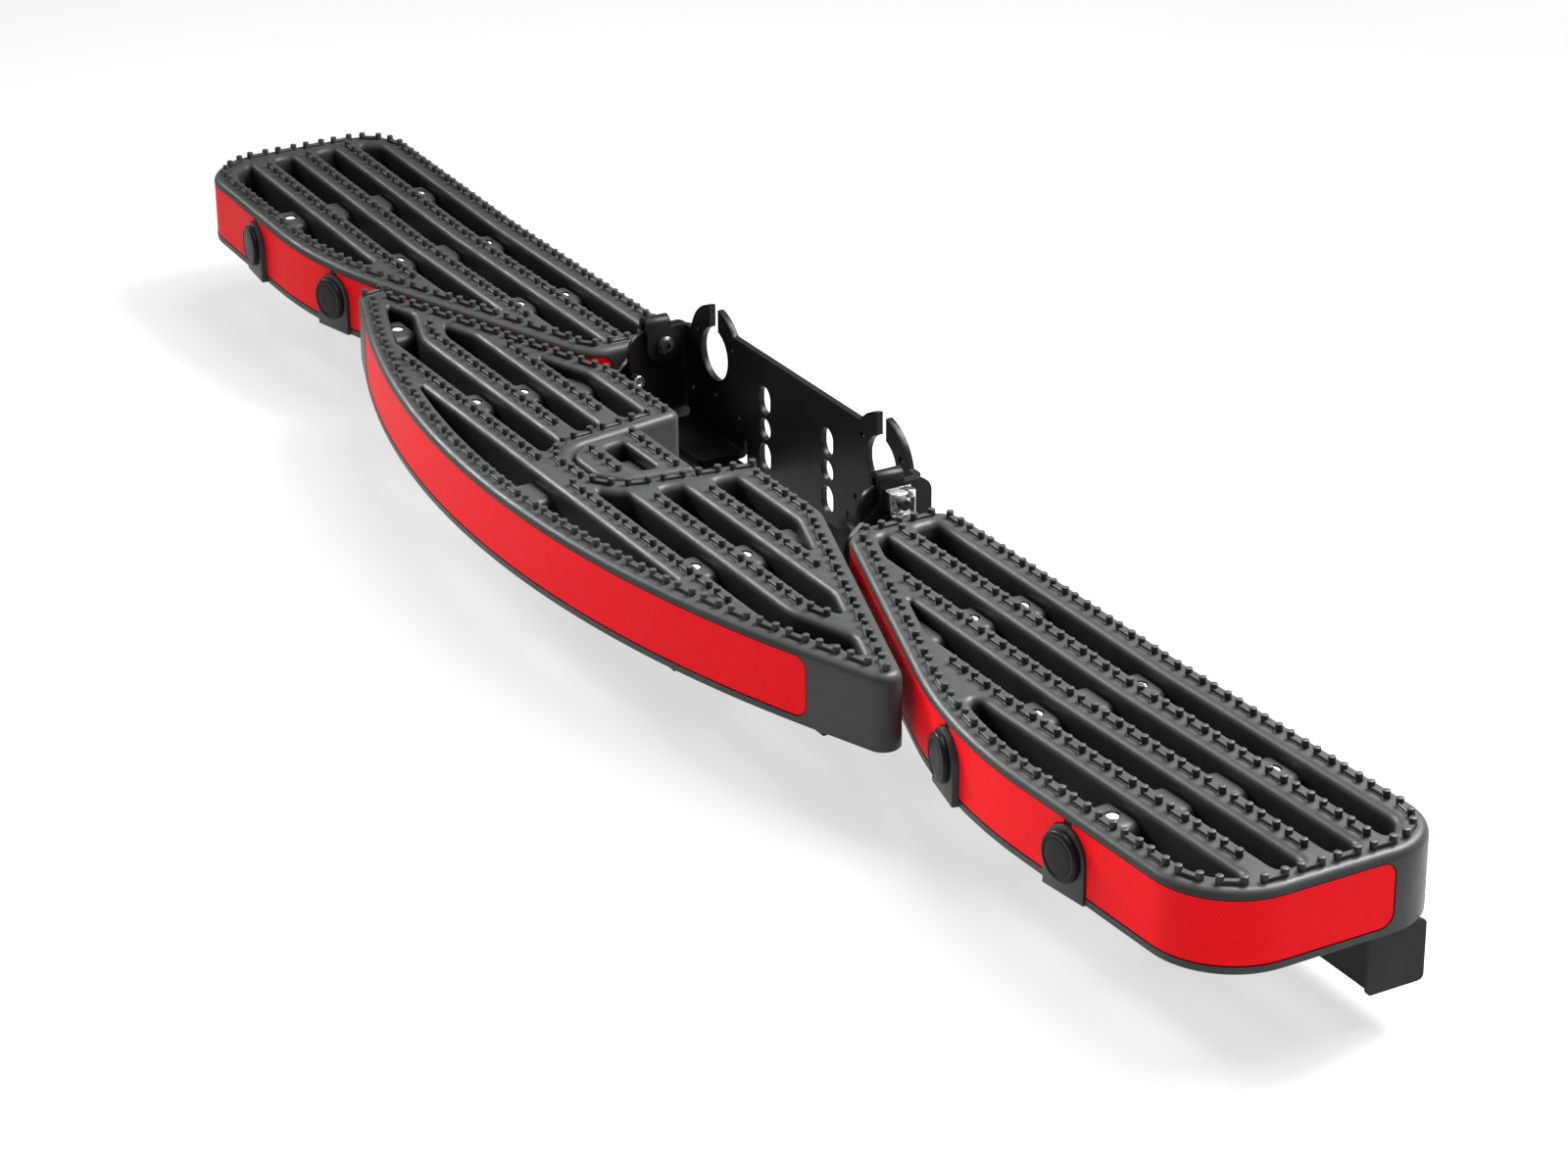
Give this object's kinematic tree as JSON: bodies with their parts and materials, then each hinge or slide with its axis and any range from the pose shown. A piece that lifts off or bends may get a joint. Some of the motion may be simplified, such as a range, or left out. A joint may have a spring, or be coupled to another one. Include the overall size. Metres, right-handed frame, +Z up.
{
  "type": "tow-bar mounted rear step",
  "caption": "Moulded rear step with slotted anti-slip treads and red reflective strips, carried on a folded steel bracket that bolts between a tow-bar and its tow ball.",
  "frame": {"origin": "on the tow-bar face of the bracket, midway between its two round bolt holes", "axes": "+Z up, +Y forwards into the vehicle, +X along the step"},
  "size_m": [1.478, 0.2646, 0.1401],
  "materials": {
    "tread_plastic": "fine-grained dark grey moulding",
    "reflector_red": "prismatic reflective sheet",
    "black_steel": "satin black powder coat",
    "plug_plastic": "smooth satin moulding",
    "cap_plastic": "smooth satin moulding",
    "zinc_steel": "zinc plate"
  },
  "bodies": {
    "root": {"centre_carrier": "black_steel", "centre_reflector": "reflector_red", "centre_tread": "tread_plastic", "left_arm_bolt": "zinc_steel", "left_arm_bracket": "black_steel", "left_cage_nut": "zinc_steel", "left_end_cap": "cap_plastic", "left_inner_cross_bar": "black_steel", "left_inner_reflector": "reflector_red", "left_inner_sensor_plug": "plug_plastic", "left_locating_pin": "zinc_steel", "left_middle_cross_bar": "black_steel", "left_middle_reflector": "reflector_red", "left_outer_cross_bar": "black_steel", "left_outer_reflector": "reflector_red", "left_outer_sensor_plug": "plug_plastic", "left_tube": "black_steel", "left_wing_tread": "tread_plastic", "main_bracket": "black_steel", "right_arm_bolt": "zinc_steel", "right_arm_bracket": "black_steel", "right_cage_nut": "zinc_steel", "right_end_cap": "cap_plastic", "right_inner_cross_bar": "black_steel", "right_inner_reflector": "reflector_red", "right_inner_sensor_plug": "plug_plastic", "right_locating_pin": "zinc_steel", "right_middle_cross_bar": "black_steel", "right_middle_reflector": "reflector_red", "right_outer_cross_bar": "black_steel", "right_outer_reflector": "reflector_red", "right_outer_sensor_plug": "plug_plastic", "right_tube": "black_steel", "right_wing_tread": "tread_plastic", "tow_ball_infill": "tread_plastic"}
  },
  "joints": []
}
